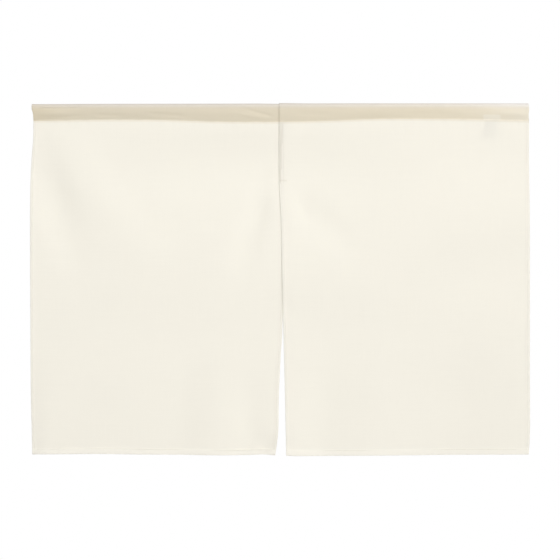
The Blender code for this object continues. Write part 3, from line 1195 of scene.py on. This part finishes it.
label = make_label(make_label_material())
print("label", round(LABEL_WIDTH / MM), "by", round((LABEL_DROP + LABEL_TUCK) / MM), "mm")

# %% [markdown]
# ## Sewing thread
#
# A stitch is a short arc of thread that comes out of the cloth and goes back in. One arc is made
# by spinning a small circle a little way round, and a row is many copies of it, joined into one
# mesh, each a touch longer or shorter than the last. The stitches show on both sides.

# %% Thread and one stitch
THREAD_RADIUS = 0.14 * MM
STITCH_STEP = 2.8 * MM
STITCH_LONG = 2.3 * MM
STITCH_ARC = math.radians(52)
STITCH_SIDES = 5
STITCH_BENDS = 3
THREAD = (0.86, 0.82, 0.73)
THREAD_SHADE = 0.93
THREAD_TURNS = 7000.0
THREAD_UNEVEN = 0.08
THREAD_HEIGHTS = (0.3, 0.7)
THREAD_ROUGHNESS = (0.5, 0.65)


def make_thread_material(weave):
    """Ivory sewing thread with its twist."""
    material, tree, shader = start_material("sewing_thread")
    place = add_node(tree, "ShaderNodeTexCoord").outputs["Object"]
    twist = add_node(tree, "ShaderNodeGroup", node_tree=weave)
    twist.inputs["Yarns per Metre"].default_value = THREAD_TURNS
    twist.inputs["Unevenness"].default_value = THREAD_UNEVEN
    turned = add_node(tree, "ShaderNodeMapping")
    turned.inputs["Rotation"].default_value = (math.pi / 2, 0.0, 0.0)
    tree.links.new(place, turned.inputs["Vector"])
    tree.links.new(turned.outputs[0], twist.inputs["Flat Place"])
    shade = tuple(part * THREAD_SHADE for part in THREAD)
    lit = to_range(tree, twist.outputs["Height"], *THREAD_HEIGHTS)
    tree.links.new(mix_colour(tree, lit, shade, THREAD), shader.inputs["Base Color"])
    rough = to_range(tree, twist.outputs["Tone"], *THREAD_ROUGHNESS)
    tree.links.new(rough, shader.inputs["Roughness"])
    return material


def make_stitch_pattern():
    """One stitch of length 1 along X, arched towards -Y, its ends sunk in the cloth."""
    stitch = bmesh.new()
    radius = 0.5 / math.sin(STITCH_ARC / 2)
    sunk = radius * math.cos(STITCH_ARC / 2)
    thick = THREAD_RADIUS / STITCH_LONG
    upright = Matrix.Rotation(math.pi / 2, 4, "Y")
    start = Matrix.Translation((0, -radius, 0)) @ upright
    ring = bmesh.ops.create_circle(stitch, segments=STITCH_SIDES, radius=thick, matrix=start)
    bmesh.ops.rotate(
        stitch, verts=ring["verts"], cent=(0, 0, 0), matrix=Matrix.Rotation(-STITCH_ARC / 2, 3, "Z")
    )
    bmesh.ops.spin(
        stitch, geom=stitch.edges[:] + stitch.verts[:], cent=(0, 0, 0), axis=(0, 0, 1),
        angle=STITCH_ARC, steps=STITCH_BENDS, use_merge=False,
    )
    bmesh.ops.holes_fill(stitch, edges=stitch.edges[:], sides=STITCH_SIDES)
    bmesh.ops.translate(stitch, verts=stitch.verts[:], vec=(0, sunk, 0))
    bmesh.ops.recalc_face_normals(stitch, faces=stitch.faces[:])
    mesh = bpy.data.meshes.new("stitch_pattern")
    stitch.to_mesh(mesh)
    stitch.free()
    return mesh


sewing_thread = make_thread_material(weave_group)
stitch_pattern = make_stitch_pattern()
print("one stitch has", len(stitch_pattern.polygons), "faces")

# %% [markdown]
# ## Rows of stitches
#
# A row follows a line on a cloth. At each step the cloth's own surface says where the stitch lies
# and which way it faces, so a row dips and turns with the folds under it.

# %% Stitch rows
SIDE_STITCH_IN = 3.9 * MM
SIDE_STITCH_TO = DROP - 12 * MM
BOTTOM_STITCH_UP = 8.9 * MM
ROW_INSET = 4 * MM
ROWS_FROM = 33 * MM
ROWS_BELOW_SEAM = SEAM_LENGTH + 4 * MM
HEM_BACK = layer_depth(2.0, 1)

# How much longer or shorter the stitches get, and how fast that changes from one to the next
LENGTH_WAVES = ((0.06, 1.7), (0.04, 0.61))

# A stitch's middle, the direction along the row, and the direction out of the cloth
Stitch = namedtuple("Stitch", "middle along outward")


def surface_stitches(points, outward_sign):
    """Stitches along a line of points, facing the front (-1) or the back (1)."""
    stitches = []
    for before, here, after in zip(points, points[1:], points[2:]):
        along = (after - before).normalized()
        outward = Vector((0.0, outward_sign, 0.0))
        outward = (outward - along * outward.dot(along)).normalized()
        stitches.append(Stitch(here, along, outward))
    return stitches


def row_points(place, start, end):
    """Points one stitch apart between two values that place() turns into points."""
    count = max(2, round((end - start) / STITCH_STEP))
    return [place(start + (end - start) * index / count) for index in range(-1, count + 2)]


def face_depths(pressed, behind):
    """Which way each face looks, front first, and how deep its thread lies."""
    return (-1, -pressed - CLOTH_THICK / 2), (1, behind + CLOTH_THICK / 2)


def on_both_faces(cloth, lie, start, end, pressed, behind):
    """Stitches before and behind a cloth, where lie() turns a value into across and down."""
    rows = []
    for sign, depth in face_depths(pressed, behind):
        def place(at, depth=depth):
            """A point of the row."""
            across, down = lie(at)
            return Vector((across, cloth.hang(across, down) + depth, -down))
        rows += surface_stitches(row_points(place, start, end), sign)
    return rows


def level_row(cloth, line, above, pressed):
    """Stitches along a level line, this far above it, from edge to edge."""
    def lie(across):
        """The row's place, this far across."""
        return across, line_down(line, across) - above

    at_edges = line_down(line, 0.0) - above
    start = edge_across(cloth.left_side, at_edges) + ROW_INSET
    end = edge_across(cloth.right_side, at_edges) - ROW_INSET
    return on_both_faces(cloth, lie, start, end, pressed, HEM_BACK - pressed)


def side_row(cloth, side, inset, start):
    """Stitches down a side, this far in from its edge."""
    def lie(down):
        """The row's place, this far down."""
        return edge_across(side, down) + inset, down

    return on_both_faces(cloth, lie, start, SIDE_STITCH_TO, HEM_PRESS, HEM_BACK - HEM_PRESS)


def sew(name, stitches, material, pattern):
    """Join a copy of the pattern for every stitch into one piece."""
    joined = bmesh.new()
    for index, stitch in enumerate(stitches):
        long = STITCH_LONG * sum((part * math.sin(index * pace) for part, pace in LENGTH_WAVES), 1.0)
        third = stitch.along.cross(-stitch.outward)
        sides = (stitch.along * long, -stitch.outward * STITCH_LONG, third * STITCH_LONG)
        turn = Matrix(sides).transposed()
        first = len(joined.verts)
        joined.from_mesh(pattern)
        joined.verts.ensure_lookup_table()
        place = Matrix.Translation(stitch.middle) @ turn.to_4x4()
        bmesh.ops.transform(joined, matrix=place, verts=joined.verts[first:])
    print(name, "has", len(stitches), "stitches")
    return finish_mesh(name, joined, material)


def hem_stitches(cloth, left_from, right_from):
    """All the rows of one cloth: casing, bottom, and the sides from these heights down."""
    rows = level_row(cloth, STITCH_LINE, STITCH_UP, 0.0)
    rows += level_row(cloth, HEM_LINE, BOTTOM_STITCH_UP, HEM_PRESS)
    rows += side_row(cloth, cloth.left_side, SIDE_STITCH_IN, left_from)
    rows += side_row(cloth, cloth.right_side, -SIDE_STITCH_IN, right_from)
    return rows


left_stitches = hem_stitches(LEFT_CLOTH, ROWS_FROM, ROWS_BELOW_SEAM)
right_stitches = hem_stitches(RIGHT_CLOTH, ROWS_BELOW_SEAM, ROWS_FROM)
stitching_left = sew("stitching_left", left_stitches, sewing_thread, stitch_pattern)
stitching_right = sew("stitching_right", right_stitches, sewing_thread, stitch_pattern)

# %% [markdown]
# ## The centre seam
#
# Two rows sew the lap together down to the end of the seam. There a bar tack, a short row of close
# upright stitches, takes the strain when somebody walks through the slit.

# %% Seam
SEAM_ROWS_AT = (0.2 * MM, 5.4 * MM)
TACK_FROM = -0.8 * MM
TACK_TO = 11.6 * MM
TACK_STITCHES = 15
TACK_DOWN = 131.5 * MM
TACK_LEAN = 0.12
SEAM_ROWS_TO = TACK_DOWN - 2 * MM
SEAM_BACK = 2 * LAP_SET + HEM_BACK


def seam_stitches():
    """The two rows of the seam, in front and behind, and the bar tack at its end."""
    stitches = []
    for at in SEAM_ROWS_AT:
        def lie(down, at=at):
            """The row's place, this far down."""
            return at, down
        stitches += on_both_faces(RIGHT_CLOTH, lie, ROWS_FROM, SEAM_ROWS_TO, HEM_PRESS, SEAM_BACK)
    for index in range(TACK_STITCHES):
        across = TACK_FROM + (TACK_TO - TACK_FROM) * index / (TACK_STITCHES - 1)
        along = Vector((TACK_LEAN if index % 2 else -TACK_LEAN, 0.0, -1.0)).normalized()
        for sign, depth in face_depths(HEM_PRESS, SEAM_BACK):
            middle = Vector((across, hang_right(across, TACK_DOWN) + depth, -TACK_DOWN))
            stitches.append(Stitch(middle, along, Vector((0.0, sign, 0.0))))
    return stitches


seam_stitching = sew("seam_stitching", seam_stitches(), sewing_thread, stitch_pattern)

# %% [markdown]
# ## Telling the frame
#
# Every piece rides on the curtain's one body. The two cloths stand for the solids of the panels
# and the casings, and those solids and the label's are hidden.

# %% Declarations
for piece in (cloth_left, cloth_right, label, stitching_left, stitching_right, seam_stitching):
    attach(piece, "root")
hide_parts("panel_left", "casing_left")
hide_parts("panel_right", "casing_right")
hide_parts("care_label")

# %% [markdown]
# ## The end
#

# %% Finish
print("finished")
